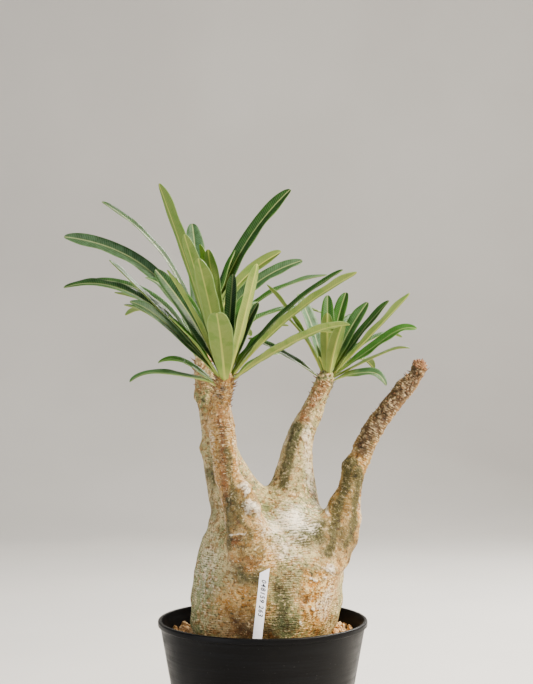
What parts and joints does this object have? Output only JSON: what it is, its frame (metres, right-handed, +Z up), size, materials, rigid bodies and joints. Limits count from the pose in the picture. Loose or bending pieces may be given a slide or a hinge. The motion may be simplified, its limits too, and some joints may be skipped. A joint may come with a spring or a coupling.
{
  "type": "potted pachypodium",
  "caption": "Potted pachypodium: swollen silvery trunk with upright arms and heads of strap leaves, in a tapered black pot of gravel with a white plant tag.",
  "frame": {"origin": "centre of the pot's foot, on the surface it stands on", "axes": "+Z up, -Y towards the front, +X to the right as seen from the front"},
  "size_m": [0.2646, 0.2088, 0.4376],
  "materials": {
    "pot_plastic": "satin",
    "gravel": "matte",
    "bark": "matte",
    "leaf": "satin",
    "tag_plastic": "satin"
  },
  "bodies": {
    "root": {"pot": "pot_plastic", "soil": "gravel", "trunk": "bark", "front_head": "leaf", "back_head": "leaf", "middle_head": "leaf", "tag": "tag_plastic"}
  },
  "joints": []
}
